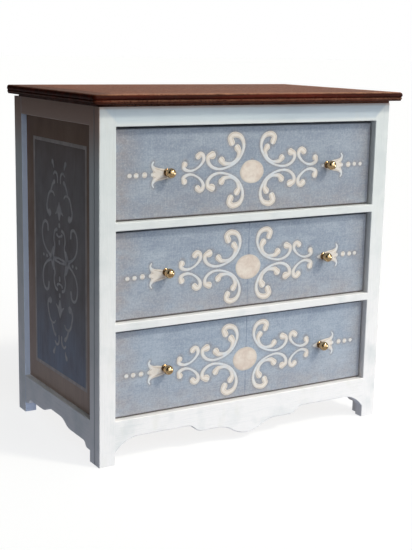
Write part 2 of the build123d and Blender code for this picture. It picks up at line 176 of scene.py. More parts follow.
class Finish:
    """One material, whose uniform values are set on its shader's own sockets."""

    def __init__(self, name, specular=0.5, metallic=0.0):
        self.material = bpy.data.materials.new(name)
        self.material.use_nodes = True
        self.tree = self.material.node_tree
        self.shader = self.tree.nodes["Principled BSDF"]
        self.place = self.add("TexCoord").outputs["Object"]
        self.x, self.y, self.z = self.add("SeparateXYZ", inputs={0: self.place}).outputs
        self.shader.inputs["Specular IOR Level"].default_value = specular
        self.shader.inputs["Metallic"].default_value = metallic

    def add(self, kind, inputs=None, **settings):
        return add_node(self.tree, kind, inputs, **settings)

    def maths(self, operation, first, second=0.0):
        return self.add("Math", {0: first, 1: second}, operation=operation).outputs[0]

    def product(self, first, second):
        return self.maths("MULTIPLY", first, second)

    def far(self, value, centre):
        """How far a coordinate is from a centre in millimetres."""
        return self.maths("ABSOLUTE", self.maths("SUBTRACT", value, centre * MM))

    def between(self, value, low, high):
        """0 up to low and 1 from high, rising smoothly; low may be the larger. Both are in millimetres."""
        limits = {"Value": value, "From Min": low * MM, "From Max": high * MM}
        return self.add("MapRange", limits, interpolation_type="SMOOTHSTEP").outputs[0]

    def spread(self, value, low, high):
        """A pattern's values stretched so that low becomes 0 and high becomes 1."""
        limits = {"Value": value, "From Min": low, "From Max": high}
        return self.add("MapRange", limits).outputs[0]

    def mix(self, factor, first, second, blend="MIX"):
        inputs = {0: factor, 6: first, 7: second}
        return self.add("Mix", inputs, data_type="RGBA", blend_type=blend).outputs[2]

    def tint(self, colour, other, pattern, low, high):
        """The colour, turning into the other where a pattern goes from low to high."""
        return self.mix(self.spread(pattern, low, high), colour, other)

    def pattern(self, size, seed, detail=4, roughness=0.5, distortion=0.0):
        """Cloudy noise, 0 to 1, whose features have this size along x, y and z in millimetres."""
        stretch = tuple(1 / (length * MM) for length in size)
        moved = self.add("VectorMath", {0: self.place, 1: stretch, 2: (seed, seed, seed)},
                         operation="MULTIPLY_ADD").outputs[0]
        inputs = {"Vector": moved, "Scale": 1.0, "Detail": detail, "Roughness": roughness,
                  "Distortion": distortion}
        return self.add("TexNoise", inputs).outputs["Fac"]

    def attribute(self, name):
        return self.add("Attribute", attribute_name=name).outputs["Fac"]

    def bump(self, height, depth, under=None):
        """Relief of this depth in millimetres, laid over the relief given as under."""
        inputs = {"Height": height, "Distance": depth * MM, "Strength": 1.0}
        if under:
            inputs["Normal"] = under
        return self.add("Bump", inputs).outputs[0]

    def give(self, colour, relief, rough):
        """Links the colour, the relief and the roughness, and returns the finished material."""
        for socket, value in (("Base Color", colour), ("Normal", relief), ("Roughness", rough)):
            self.tree.links.new(value, self.shader.inputs[socket])
        return self.material


def grain_size(axis, along, across):
    """A pattern size that is long on one axis and short on the other two."""
    return tuple(along if name == axis else across for name in "xyz")


# ---- Materials: sizes and places are in millimetres, and spread and tint take a pattern's values ----
WHITE_TOP_SHADED = screen(221, 223, 221)
WHITE_FOOT_LIT = screen(242, 237, 235)
WHITE_GREY = screen(203, 207, 206)
WHITE_WARM = screen(226, 222, 210)
WHITE_STREAK = screen(176, 184, 186)
WHITE_LEFT_SHADE = screen(190, 158, 142)
WHITE_COOL = screen(236, 243, 250)
WHITE_SHADED = screen(220, 228, 238)
WHITE_REVEAL_LIT = screen(212, 220, 238)
JOINT_LINE = screen(108, 112, 124)
BROWN_SHADE_UNDER_TOP = screen(188, 156, 140)
FOOT_TO_TOP = (12, 70)  # the heights between which the white turns from WHITE_FOOT_LIT to WHITE_TOP_SHADED
LEFT_SHADE_HEIGHTS = (62, 76)  # and the top of the left side gets a painted brownish shade
SHADE_UNDER_TOP_DEPTH = 0.75  # how far the painted brownish shade reaches down from under the top


def white_paint(axis):
    """Brushed off-white, a little greyer above and whiter at the feet, as painted shade above and painted
    light below; axis is the way it was brushed.
    """
    paint = Finish(f"white_paint_{axis}", specular=0.35)
    # Painted light and shade: whiter at the feet, as lit from the floor, and greyer high up.
    colour = paint.mix(paint.between(paint.z, *FOOT_TO_TOP), WHITE_FOOT_LIT, WHITE_TOP_SHADED)
    patches = paint.pattern((7, 7, 7), seed=3.1)
    colour = paint.tint(colour, WHITE_GREY, patches, 0.5, 0.95)
    warm = paint.pattern((4, 4, 9), seed=8.4)
    colour = paint.tint(colour, WHITE_WARM, warm, 0.58, 1.1)
    streaks = paint.pattern(grain_size(axis, 7.0, 0.16), seed=1.7, roughness=0.6)
    colour = paint.tint(colour, WHITE_STREAK, streaks, 0.52, 1.5)

    # The outer faces of the sides: a painted brownish shade high on the left one, and a fine open joint on
    # both.
    from_middle = paint.far(paint.x, 0.0)
    outer = paint.between(from_middle, FRAME_HALF - 0.25, FRAME_HALF - 0.05)
    left_face = paint.between(paint.x, 0.25 - FRAME_HALF, 0.05 - FRAME_HALF)
    smoky = paint.product(left_face, paint.between(paint.z, *LEFT_SHADE_HEIGHTS))
    colour = paint.mix(smoky, colour, WHITE_LEFT_SHADE)
    joint = paint.product(outer, paint.between(paint.far(paint.y, SIDE_JOINT), 0.4, 0.1))
    colour = paint.mix(paint.product(joint, 0.5), colour, JOINT_LINE)

    # A painted brownish shade just under the top's edge.
    shade_under_top = paint.between(paint.z, SUB_LOW.z - SHADE_UNDER_TOP_DEPTH, SUB_LOW.z - 0.1)
    colour = paint.mix(paint.product(shade_under_top, 0.7), colour, BROWN_SHADE_UNDER_TOP)

    # The shade of the top, on the top rail and in a mitred corner beside it.
    beside = paint.maths("SUBTRACT", from_middle, DRAWER_HALF * MM)
    mitred = paint.maths("SUBTRACT", paint.z, paint.maths("MAXIMUM", beside, 0.0))
    shade = paint.mix(paint.between(paint.x, -12, 18), WHITE_COOL, WHITE_SHADED)
    upper = paint.between(mitred, TOP_RAIL_LOW + 0.2, TOP_RAIL_LOW + 1.3)
    colour = paint.mix(upper, colour, shade, "MULTIPLY")

    # The inner edge of the rear left stile, bluer than the rest: painted cool light that this edge catches
    # from the front.
    lit_reveal = paint.between(paint.far(paint.y, BACK_STILE_FRONT), 0.12, 0.03)
    lit_reveal = paint.product(lit_reveal, paint.between(paint.x, -20, -30))
    colour = paint.mix(lit_reveal, colour, WHITE_REVEAL_LIT)

    relief = paint.bump(streaks, 0.035)
    relief = paint.bump(paint.pattern((2.2, 2.2, 2.2), seed=5.0, detail=3), 0.05, relief)
    relief = paint.bump(joint, -0.15, relief)
    rough = paint.spread(streaks, -0.8, 1.6)
    return paint.give(colour, relief, rough)


BLUE = screen(164, 173, 186)
BLUE_LIGHT = screen(179, 187, 197)
BLUE_DEEP = screen(148, 158, 173)
GREY_WARM = screen(160, 155, 157)
BLUE_SHADE_ABOVE = screen(240, 239, 239)
GREY_BROWN = screen(140, 130, 124)
BLUE_ACROSS = screen(112, 122, 138)
BLUE_UPRIGHT = screen(204, 208, 214)
SPECK_PALE = screen(206, 208, 210)
SPECK_DARK = screen(104, 114, 130)
SEAM_LINE = screen(92, 104, 124)
GAP_SHADE_AND_DIRT = screen(62, 48, 38)
SHADED_EDGE = screen(40, 44, 50)


def blue_paint():
    """Grey-blue with a warm glaze at the ends, at the lower edge and around the stencilled scrolls."""
    paint = Finish("blue_paint", specular=0.3)
    from_low = paint.maths("SUBTRACT", paint.z, DRAWER_LOW * MM)
    in_drawer = paint.maths("FLOORED_MODULO", from_low, DRAWER_PITCH * MM)
    clouds = paint.pattern((9, 9, 5), seed=2.3, detail=5, roughness=0.55)
    colour = paint.tint(BLUE_DEEP, BLUE, clouds, 0.35, 0.68)
    light = paint.pattern((12, 12, 4), seed=6.6, detail=5, roughness=0.6)
    colour = paint.tint(colour, BLUE_LIGHT, light, 0.48, 0.8)

    # Warmth at the ends and low on each drawer, and the glaze around the scrolls.
    left_end = paint.between(paint.x, 8 - DRAWER_HALF, 1 - DRAWER_HALF)
    right_end = paint.between(paint.x, DRAWER_HALF - 8, DRAWER_HALF + 3)
    lower = paint.between(in_drawer, 0.5 * DRAWER_HEIGHT, -2.5)
    warmth = paint.maths("MAXIMUM", left_end, paint.maths("MAXIMUM", right_end, lower))
    smudges = paint.pattern((5, 5, 3), seed=9.2, detail=5, roughness=0.65)
    warmth = paint.product(warmth, paint.spread(smudges, 0.2, 0.62))
    colour = paint.mix(warmth, colour, GREY_WARM)
    # Painted shade: the blue is darker higher up the chest.
    colour = paint.mix(paint.between(paint.z, 22, 66), colour, BLUE_SHADE_ABOVE, "MULTIPLY")
    glaze = paint.product(paint.attribute("glaze"), paint.spread(smudges, -0.1, 0.95))
    colour = paint.mix(glaze, colour, GREY_BROWN)

    # Brushed both ways, like coarse linen, and flecked.
    across = paint.pattern((3.5, 1, 0.13), seed=4.0, roughness=0.65)
    colour = paint.tint(colour, BLUE_ACROSS, across, 0.5, 1.25)
    upright = paint.pattern((0.14, 1, 3.0), seed=7.0, roughness=0.65)
    colour = paint.tint(colour, BLUE_UPRIGHT, upright, 0.53, 1.35)
    speckle = paint.pattern((0.36, 1, 0.3), seed=13.0, detail=2, roughness=0.7)
    colour = paint.tint(colour, SPECK_PALE, speckle, 0.5, 1.4)
    colour = paint.tint(colour, SPECK_DARK, speckle, 0.5, -0.3)

    # A broken line down the middle of the two lower drawers, and the dark lines at each drawer's edges.
    seam = paint.between(paint.far(paint.x, 0.1), 0.2, 0.05)
    below_top = paint.between(paint.z, TOP_DRAWER_LOW, TOP_DRAWER_LOW - 0.5)
    broken = paint.spread(paint.pattern((1, 1, 2.4), seed=5.5, detail=3), 0.25, 0.6)
    seam = paint.product(paint.product(seam, below_top), broken)
    colour = paint.mix(paint.product(seam, 0.55), colour, SEAM_LINE)
    # A dark brown line along each drawer's lower edge: painted shade of the gap beneath it, and dirt.
    bottom_edge = paint.between(in_drawer, 0.5, 0.12)
    colour = paint.mix(paint.product(bottom_edge, 0.85), colour, GAP_SHADE_AND_DIRT)
    top_edge = paint.between(in_drawer, DRAWER_HEIGHT - 0.42, DRAWER_HEIGHT - 0.15)
    top_edge = paint.product(top_edge, paint.between(paint.far(paint.y, DRAWER_FACE), 0.4, 0.15))
    colour = paint.mix(paint.product(top_edge, 0.9), colour, SHADED_EDGE)

    relief = paint.bump(across, 0.03)
    relief = paint.bump(upright, 0.018, relief)
    relief = paint.bump(clouds, 0.05, relief)
    return paint.give(colour, relief, paint.spread(across, -1.0, 1.3))


CREAM = screen(229, 219, 209)
CREAM_COOL = screen(212, 214, 218)
CREAM_RIM = screen(184, 174, 164)
CREAM_BLOT = screen(210, 194, 180)
CREAM_LINE = screen(176, 156, 140)
CREAM_STREAK = screen(170, 176, 186)
MEDALLION_PINK = screen(212, 193, 179)
MEDALLION_PALE = screen(230, 217, 204)
MEDALLION_STREAK = screen(196, 182, 168)


def cream_stencil():
    """Stencil paint, warm where a stroke is broad, cool where it is narrow, and dull along its rim."""
    paint = Finish("cream_stencil", specular=0.3)
    blots = paint.pattern((1.1, 1.1, 1.1), seed=2.0, roughness=0.6)
    breadth = paint.attribute("breadth")
    colour = paint.tint(CREAM_COOL, CREAM, breadth, 0.25, 0.6)
    colour = paint.tint(colour, CREAM_BLOT, blots, 0.42, 1.0)
    outward = paint.attribute("rim")
    inner_line = paint.maths("ABSOLUTE", paint.maths("SUBTRACT", outward, 0.62))
    inner_line = paint.spread(inner_line, 0.19, 0.06)
    inner_line = paint.product(inner_line, paint.spread(breadth, 0.28, 0.6))
    colour = paint.mix(paint.product(inner_line, 0.6), colour, CREAM_LINE)
    colour = paint.tint(colour, CREAM_RIM, outward, 0.8, 1.15)
    streaks = paint.pattern((2.0, 1, 0.12), seed=6.0, detail=3)
    colour = paint.tint(colour, CREAM_STREAK, streaks, 0.55, 1.4)
    relief = paint.bump(streaks, 0.02)
    return paint.give(colour, relief, paint.spread(blots, -0.9, 1.2))


def medallion_paint():
    """The pinkish cream oval in the middle, rubbed lighter in a blot."""
    paint = Finish("medallion_paint", specular=0.3)
    blots = paint.pattern((2.2, 2.2, 1.8), seed=11.0, detail=5, roughness=0.6, distortion=0.4)
    colour = paint.tint(MEDALLION_PINK, MEDALLION_PALE, blots, 0.38, 0.66)
    colour = paint.tint(colour, CREAM_RIM, paint.attribute("rim"), 0.8, 1.2)
    streaks = paint.pattern((0.2, 1, 2.0), seed=3.0)
    colour = paint.tint(colour, MEDALLION_STREAK, streaks, 0.55, 1.3)
    relief = paint.bump(blots, 0.03)
    relief = paint.bump(streaks, 0.02, relief)
    return paint.give(colour, relief, paint.spread(blots, -0.9, 1.2))


BAND_HALF_DEPTH = 14.25  # the light line around the panel's field
BAND_HALF_HEIGHT = 26.8
BAND_WIDTH = 0.8
TAN = screen(168, 142, 124)
TAN_DARK = screen(138, 110, 94)
FIELD = screen(148, 142, 142)
FIELD_DARK = screen(124, 116, 116)
FIELD_BLUE = screen(138, 146, 166)
TAN_PALE = screen(202, 178, 164)
PANEL_SHADE = screen(96, 62, 42)
PANEL_STREAK = screen(78, 72, 72)
SCROLL_PALE = screen(204, 198, 196)
SCROLL_GREY = screen(172, 167, 168)
BAND_PALE = screen(200, 188, 182)
BAND_GREY = screen(172, 160, 154)


def side_panel_paint():
    """A smoky field inside a tan border."""
    paint = Finish("side_panel_paint", specular=0.3)
    clouds = paint.pattern((9, 6, 9), seed=1.2, detail=5, roughness=0.6)
    field = paint.tint(FIELD_DARK, FIELD, clouds, 0.35, 0.7)
    bluer = paint.product(paint.between(paint.z, 38, 14), paint.spread(clouds, 0.15, 0.6))
    field = paint.mix(bluer, field, FIELD_BLUE)
    border = paint.tint(TAN_DARK, TAN, clouds, 0.3, 0.7)
    paler = paint.product(paint.between(paint.z, 58, 12), 0.6)
    border = paint.mix(paler, border, TAN_PALE)
    depth = paint.maths("SUBTRACT", paint.far(paint.y, PANEL_MIDDLE.y), BAND_HALF_DEPTH * MM)
    height = paint.maths("SUBTRACT", paint.far(paint.z, PANEL_MIDDLE.z), BAND_HALF_HEIGHT * MM)
    outside = paint.between(paint.maths("MAXIMUM", depth, height), -0.15, 0.15)
    colour = paint.mix(outside, field, border)
    upper = paint.product(paint.between(paint.z, 56, 73), 0.55)
    colour = paint.mix(upper, colour, PANEL_SHADE)
    streaks = paint.pattern((1, 0.2, 6.0), seed=3.3, roughness=0.6)
    colour = paint.tint(colour, PANEL_STREAK, streaks, 0.5, 1.5)
    relief = paint.bump(streaks, 0.03)
    relief = paint.bump(clouds, 0.06, relief)
    return paint.give(colour, relief, paint.spread(streaks, -0.8, 1.5))


def panel_stencil():
    """The fainter stencil paint on the side panels."""
    paint = Finish("panel_stencil", specular=0.3)
    blots = paint.pattern((1.4, 1.4, 1.4), seed=4.4, roughness=0.6)
    colour = paint.tint(SCROLL_PALE, SCROLL_GREY, blots, 0.3, 0.75)
    colour = paint.tint(colour, FIELD, paint.attribute("rim"), 0.6, 1.2)
    relief = paint.bump(blots, 0.02)
    return paint.give(colour, relief, paint.spread(blots, -0.9, 1.2))


def band_paint():
    """The thin light line between the panel's field and its border."""
    paint = Finish("band_paint", specular=0.3)
    blots = paint.pattern((2, 2, 4), seed=7.4, roughness=0.6)
    colour = paint.tint(BAND_PALE, BAND_GREY, blots, 0.35, 0.7)
    relief = paint.bump(blots, 0.02)
    return paint.give(colour, relief, paint.spread(blots, -0.9, 1.2))


STAIN = screen(64, 15, 2)
STAIN_DARK = screen(36, 7, 1)
STAIN_RED = screen(94, 25, 7)
STAIN_WORN_AND_SHEEN = screen(200, 140, 108)
STAIN_SHEEN = screen(172, 106, 74)
STAIN_PORE = screen(30, 12, 9)


def stained_top():
    """Red-brown stain over a fine grain that runs across the chest, lighter above as a painted sheen, and
    rubbed on the edge, where the rubbing also paints a highlight.
    """
    stain = Finish("stained_top", specular=0.07)
    bands = stain.pattern((30, 2.2, 2.2), seed=2.7, roughness=0.5, distortion=0.6)
    colour = stain.tint(STAIN_DARK, STAIN, bands, 0.3, 0.7)
    colour = stain.tint(colour, STAIN_RED, bands, 0.55, 0.85)
    # Painted sheen: the upper face is lighter and speckled pale, less so at the left end.
    above = stain.between(stain.z, HIGHEST.z - 0.12, HIGHEST.z - 0.02)
    from_left = stain.between(stain.x, 0.5 - HIGHEST.x, 8 - HIGHEST.x)
    painted_sheen = stain.product(stain.product(above, stain.spread(bands, -0.3, 1.0)), from_left)
    colour = stain.mix(painted_sheen, colour, STAIN_SHEEN)
    mottle = stain.pattern((0.9, 1.8, 0.9), seed=15.0, detail=3, roughness=0.7)
    sheen_spots = stain.product(painted_sheen, stain.spread(mottle, 0.5, 0.95))
    colour = stain.mix(sheen_spots, colour, STAIN_WORN_AND_SHEEN)
    colour = stain.tint(colour, STAIN, mottle, 0.5, 0.1)
    pores = stain.pattern((4.0, 0.13, 0.13), seed=5.1, detail=3, roughness=0.7)
    colour = stain.tint(colour, STAIN_PORE, pores, 0.56, 0.8)
    speckle = stain.pattern((0.5, 0.35, 0.35), seed=9.0, detail=3, roughness=0.7)
    # Rubbed wear on the edge, which also paints the highlight along the nose and the bead.
    rubbed = stain.product(stain.attribute("wear_and_highlight"), stain.spread(speckle, 0.34, 0.5))
    colour = stain.mix(rubbed, colour, STAIN_WORN_AND_SHEEN)
    relief = stain.bump(pores, -0.05)
    relief = stain.bump(speckle, 0.05, relief)
    relief = stain.bump(mottle, 0.22, relief)
    rough = stain.spread(speckle, -0.35, 1.35)
    return stain.give(colour, relief, rough)


WOOD_DARK = screen(205, 172, 132)
WOOD_PALE = screen(226, 200, 164)
WOOD_FIBRE = screen(168, 128, 90)
BRASS = screen(226, 196, 150)
BRASS_TARNISHED = screen(158, 118, 76)
BRASS_SHADED_BEHIND = screen(92, 62, 38)


def bare_wood(axis):
    """Pale close-grained wood, left unpainted inside; axis is the way the grain runs."""
    wood = Finish(f"bare_wood_{axis}", specular=0.25)
    rings = wood.pattern(grain_size(axis, 40, 1.6), seed=4.2, roughness=0.5, distortion=0.5)
    colour = wood.tint(WOOD_DARK, WOOD_PALE, rings, 0.3, 0.7)
    fibres = wood.pattern(grain_size(axis, 6, 0.12), seed=1.1, roughness=0.7)
    colour = wood.tint(colour, WOOD_FIBRE, fibres, 0.5, 1.0)
    relief = wood.bump(fibres, 0.04)
    return wood.give(colour, relief, wood.spread(fibres, -1.2, 1.1))


def brass():
    """Polished brass, a little tarnished in patches and dark behind the ball with painted shade."""
    metal = Finish("brass", metallic=1.0)
    tarnish = metal.pattern((0.5, 0.5, 0.5), seed=3.0, roughness=0.6)
    colour = metal.tint(BRASS, BRASS_TARNISHED, tarnish, 0.35, 0.8)
    # Painted shade on the collar behind the ball.
    shaded_behind_ball = metal.between(metal.y, DRAWER_FACE - 1.0, DRAWER_FACE - 0.5)
    colour = metal.mix(metal.product(shaded_behind_ball, 0.8), colour, BRASS_SHADED_BEHIND)
    turning = metal.pattern((3, 0.06, 3), seed=1.0, detail=2)
    relief = metal.bump(turning, 0.004)
    return metal.give(colour, relief, metal.spread(tarnish, 0.1, 3.0))


WHITE = {axis: white_paint(axis) for axis in "xyz"}
WOOD = {axis: bare_wood(axis) for axis in "xyz"}
BLUE_FINISH = blue_paint()
CREAM_FINISH = cream_stencil()
MEDALLION_FINISH = medallion_paint()
PANEL_FINISH = side_panel_paint()
PANEL_CREAM_FINISH = panel_stencil()
BAND_FINISH = band_paint()
STAIN_FINISH = stained_top()
BRASS_FINISH = brass()


# ---- Stencilled strokes ----
PAINT_HEIGHT = 0.035  # how far the stencil paint stands proud
PAINT_ROOT = 0.02  # and how far the stroke reaches into the surface under it
FULL_WIDTH = 0.2  # a stroke with a smaller half width is lower too
FLATNESS = 0.6  # under 1, a stroke's dome is fuller than a half circle
SECTION = [(across, up ** FLATNESS) for across, up in arc((0, 0), 1.0, 0, 180, 9)]
ROUND_STEPS = 6
DOT_SQUASH = 0.06  # half the length of a stroke that makes a dot
SCROLL_WANDER, PETAL_WANDER, DOT_WANDER = 0.07, 0.04, 0.08  # how far repeated strokes stray
PANEL_WANDER, SPINE_WANDER = 0.1, 0.06
hand = random.Random(11)  # the hand that repeats the strokes, never twice the same


def rounded_tip(centre, outward, width):
    """(centre, half width) from near a stroke's very tip back to its full width."""
    turns = [radians(90 * step / ROUND_STEPS) for step in range(1, ROUND_STEPS)]
    return [(centre + outward * width * cos(turn), width * sin(turn)) for turn in turns]


def brush_stroke(points):
    """Where a round-ended stroke goes: (centre, direction, half width) from its tip to its tip."""
    route = smooth_route(points)
    centres = [point.xy for point in route]
    widths = [point.z for point in route]
    directions = [(b - a).normalized() for a, b in zip(centres, centres[1:])]
    directions.append(directions[-1])
    start = rounded_tip(centres[0], -directions[0], widths[0])
    end = rounded_tip(centres[-1], directions[-1], widths[-1])
    steps = [(centre, directions[0], width) for centre, width in start]
    steps += zip(centres, directions, widths)
    return steps + [(centre, directions[-1], width) for centre, width in reversed(end)]


def add_stroke(mesh, stroke, place):
    """Lays one domed stroke on a surface; place(across, up, lift) says where a point of it is."""
    rim = vertex_values(mesh, "rim")
    breadth = vertex_values(mesh, "breadth")
    rings = []
    for centre, direction, width in stroke:
        side = Vector((-direction.y, direction.x)) * width
        height = PAINT_HEIGHT * min(1.0, width / FULL_WIDTH)
        ring = [place(*(centre + side * across), height * up) for across, up in SECTION]
        ring += [place(*(centre + side * across), -PAINT_ROOT) for across in (-1, 1)]
        rings.append(ring)
    rims = [abs(across) for across, _ in SECTION] + [1, 1]
    for row, (_, _, width) in zip(loft(mesh, rings), stroke):
        for vertex, value in zip(row, rims):
            vertex[rim] = value
            vertex[breadth] = width


def scrolls(name, strokes, place, material, body):
    """Strokes of stencil paint as one piece."""
    mesh = bmesh.new()
    for stroke in strokes:
        add_stroke(mesh, stroke, place)
    return new_piece(name, mesh, [material], body)


def dot(out, radius):
    """A round dot, as a very short stroke."""
    return [(out - DOT_SQUASH, 0.0, radius), (out + DOT_SQUASH, 0.0, radius)]


def varied(points, amount):
    """The same stroke as a hand would repeat it, a little moved and a little broader or narrower."""
    across, up = hand.uniform(-amount, amount), hand.uniform(-amount, amount)
    breadth = hand.uniform(0.93, 1.07)
    return [(x + across, z + up, width * breadth) for x, z, width in points]


def mirrored(points, across, up):
    """The same stroke on the other side where across or up is -1."""
    return [(x * across, z * up, width) for x, z, width in points]


def repeated(points, wander, across, up):
    """One stroke of the stencil, as the hand repeats it on the side that across and up (1 or -1) give."""
    return brush_stroke(mirrored(varied(points, wander), across, up))


# ---- Drawer stencil: one quarter, as (out from the middle, up from the axis, half width) ----
LARGE_SCROLL = [
    (10.45, 3.55, 0.85), (11.45, 3.1, 0.55), (11.4, 1.95, 0.41), (10.3, 0.88, 0.33), (8.4, 0.42, 0.26),
    (6.0, 0.9, 0.24), (3.9, 2.1, 0.27), (2.6, 4.0, 0.31), (2.35, 5.8, 0.4), (3.15, 7.35, 0.52),
    (4.8, 7.85, 0.62), (5.85, 7.15, 0.66), (5.5, 6.15, 0.76),
]
INNER_SCROLL = [
    (8.0, 2.35, 0.8), (7.2, 1.62, 0.51), (5.5, 1.6, 0.29), (4.15, 2.35, 0.36), (3.55, 3.4, 0.48),
    (3.5, 4.25, 0.63), (3.95, 4.9, 0.8),
]
SMALL_SCROLL = [
    (17.4, 1.9, 0.73), (17.6, 1.15, 0.49), (16.9, 0.62, 0.37), (15.8, 0.46, 0.29), (14.5, 0.85, 0.23),
    (13.3, 1.75, 0.3), (12.65, 2.8, 0.43), (12.85, 3.7, 0.53), (13.55, 4.0, 0.58), (14.05, 3.55, 0.74),
]
PETAL = [
    (24.95, 2.65, 0.16), (25.2, 2.2, 0.22), (25.15, 1.75, 0.29), (24.8, 1.25, 0.45), (24.3, 0.85, 0.62),
    (23.3, 0.5, 0.62),
]
TULIP_HEART = [
    (25.15, 0.0, 0.45), (24.6, 0.0, 0.95), (23.8, 0.0, 1.32), (22.8, 0.0, 1.25), (21.8, 0.0, 1.0),
    (20.7, 0.0, 0.65), (19.6, 0.0, 0.24),
]
DOTS = [(27.15, 0.58), (29.05, 0.5), (30.7, 0.45)]
MEDALLION = (3.35, 2.77)  # half its width and half its height
MEDALLION_SIZE = {"bottom": 1.0, "middle": 1.02, "top": 0.94}
MEDALLION_DROP = 0.42  # its middle is below the axis of the scrolls
MEDALLION_STEPS = 64
MEDALLION_CUT = 0.035  # how far its outline strays from an oval, as a share of its size
CUT_WAVES = 1.6  # and how often
AXIS_DROP = 0.2  # that axis is below the middle of the drawer front
STENCIL_SHIFT = {"bottom": -0.1, "middle": 0.05, "top": 0.35}
STENCIL_TILT = {"bottom": 0.55, "middle": 0.6, "top": 0.2}


def on_drawer(name):
    """Where a point of the stencil lands on a drawer's face."""
    low, high = in_mm(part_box(f"{name}_drawer_front"))
    turn = radians(STENCIL_TILT[name])
    middle_z = (low.z + high.z) / 2 - AXIS_DROP

    def place(across, up, lift):
        x = STENCIL_SHIFT[name] + across * cos(turn) - up * sin(turn)
        z = middle_z + across * sin(turn) + up * cos(turn)
        return Vector((x, low.y - lift, z))
    return place


def drawer_strokes():
    """All the strokes on one drawer."""
    strokes = []
    for across in (-1, 1):
        for up in (-1, 1):
            for points in (LARGE_SCROLL, INNER_SCROLL, SMALL_SCROLL):
                strokes.append(repeated(points, SCROLL_WANDER, across, up))
            strokes.append(repeated(PETAL, PETAL_WANDER, across, up))
        strokes.append(brush_stroke(mirrored(TULIP_HEART, across, 1)))
        for out, radius in DOTS:
            strokes.append(repeated(dot(out, radius), DOT_WANDER, across, 1))
    return strokes


def drawer_medallion(name):
    """An oval with a rounded rim, a little uneven as cut."""
    place = on_drawer(name)
    mesh = bmesh.new()
    rim = vertex_values(mesh, "rim")
    seed = hand.uniform(0, 100)
    dome = [(1.0, 0.3), (0.97, 0.75), (0.9, 1.0), (0.6, 1.1), (0.25, 1.1)]
    levels = [(1.0, -PAINT_ROOT)] + [(share, height * PAINT_HEIGHT) for share, height in dome]
    rings = []
    for share, lift in levels:
        ring = []
        for step in range(MEDALLION_STEPS):
            turn = tau * step / MEDALLION_STEPS
            around = Vector((cos(turn) * CUT_WAVES, sin(turn) * CUT_WAVES, seed))
            out = MEDALLION_SIZE[name] * share * (1 + MEDALLION_CUT * noise.noise(around))
            across = MEDALLION[0] * out * cos(turn)
            up = MEDALLION[1] * out * sin(turn) - MEDALLION_DROP
            ring.append(place(across, up, lift))
        rings.append(ring)
    for row, (share, _) in zip(loft(mesh, rings), levels):
        for vertex in row:
            vertex[rim] = share
    return new_piece(f"{name}_drawer_medallion", mesh, [MEDALLION_FINISH], f"{name}_drawer")


# ---- Drawer fronts ----
FRONT_EDGE = 0.17  # radius of the drawer front's softened edges
GLAZE_REACH = 0.6  # the warm glaze fades out this far from a stroke
GLAZE_FADE = 1.3  # the power by which it does
GRID_STEP = 0.4
BRUSHING = 0.012  # how deep the brush marks are


def grid_lines(low, high):
    """Places of a grid's lines, close together where the edges are rounded."""
    near = [FRONT_EDGE * (1 - cos(radians(angle))) for angle in (0, 22, 45, 68, 90)]
    count = round((high - low) / GRID_STEP)
    inner = [low + near[-1] + (high - low - 2 * near[-1]) * step / count for step in range(1, count)]
    return [low + d for d in near] + inner + [high - d for d in reversed(near)]


def roll_back(distance):
    """How far the face has fallen back at this distance from its edge."""
    if distance >= FRONT_EDGE:
        return 0.0
    return FRONT_EDGE - sqrt(FRONT_EDGE ** 2 - (FRONT_EDGE - distance) ** 2)


def glaze_samples(name, strokes):
    """A search tree of the points along the strokes, and the stroke's half width at each."""
    place = on_drawer(name)
    samples = [(place(*centre, 0), width) for stroke in strokes for centre, _, width in stroke]
    samples.append((place(0, -MEDALLION_DROP, 0), sum(MEDALLION) / 2))
    tree = kdtree.KDTree(len(samples))
    for index, (point, _) in enumerate(samples):
        tree.insert(point, index)
    tree.balance()
    return tree, [width for _, width in samples]


def painted_grid(mesh, low, high, tree, widths):
    """The fine grid of the painted face, row by row, with the glaze around the strokes."""
    glaze = vertex_values(mesh, "glaze")
    rows = []
    for z in grid_lines(low.z, high.z):
        row = []
        for x in grid_lines(low.x, high.x):
            from_edge = min(x - low.x, high.x - x, z - low.z, high.z - z)
            brushing = BRUSHING * noise.noise(Vector((x * 0.25, 0, z * 1.6))) * min(1, from_edge)
            vertex = mesh.verts.new((x, low.y + roll_back(from_edge) + max(0.0, brushing), z))
            nearest = tree.find_n(Vector((x, low.y, z)), 3)
            gap = min(distance - widths[index] for _, index, distance in nearest)
            vertex[glaze] = max(0.0, 1 - max(0.0, gap) / GLAZE_REACH) ** GLAZE_FADE
            row.append(vertex)
        rows.append(row)
    for row, above in zip(rows, rows[1:]):
        for here in range(len(row) - 1):
            mesh.faces.new((row[here], row[here + 1], above[here + 1], above[here]))
    return rows


def drawer_front(name, strokes):
    """The painted front: a fine grid in front, rounded at its edges, with a plain wooden back."""
    node = f"{name}_drawer_front"
    low, high = in_mm(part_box(node))
    mesh = bmesh.new()
    rows = painted_grid(mesh, low, high, *glaze_samples(name, strokes))
    rim = rows[0] + [row[-1] for row in rows[1:-1]] + rows[-1][::-1] + [row[0] for row in rows[-2:0:-1]]
    back = [mesh.verts.new((vertex.co.x, high.y, vertex.co.z)) for vertex in rim]
    for here in range(len(rim)):
        mesh.faces.new((rim[here - 1], rim[here], back[here], back[here - 1]))
    mesh.faces.new(back).material_index = 1
    materials = [BLUE_FINISH, WOOD["x"]]
    piece = new_piece(f"{node}_painted", mesh, materials, f"{name}_drawer")
    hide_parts(node)


# ---- Turned brass knobs ----
KNOB_SEGMENTS = 40
NECK = 0.49  # radius of the neck that carries the ball
COLLAR = 0.85  # radius of the collar against the drawer's face
SHANK = 0.4  # radius of the shank in the drawer front
SHANK_LENGTH = 2.2
CHAMFER = 0.04


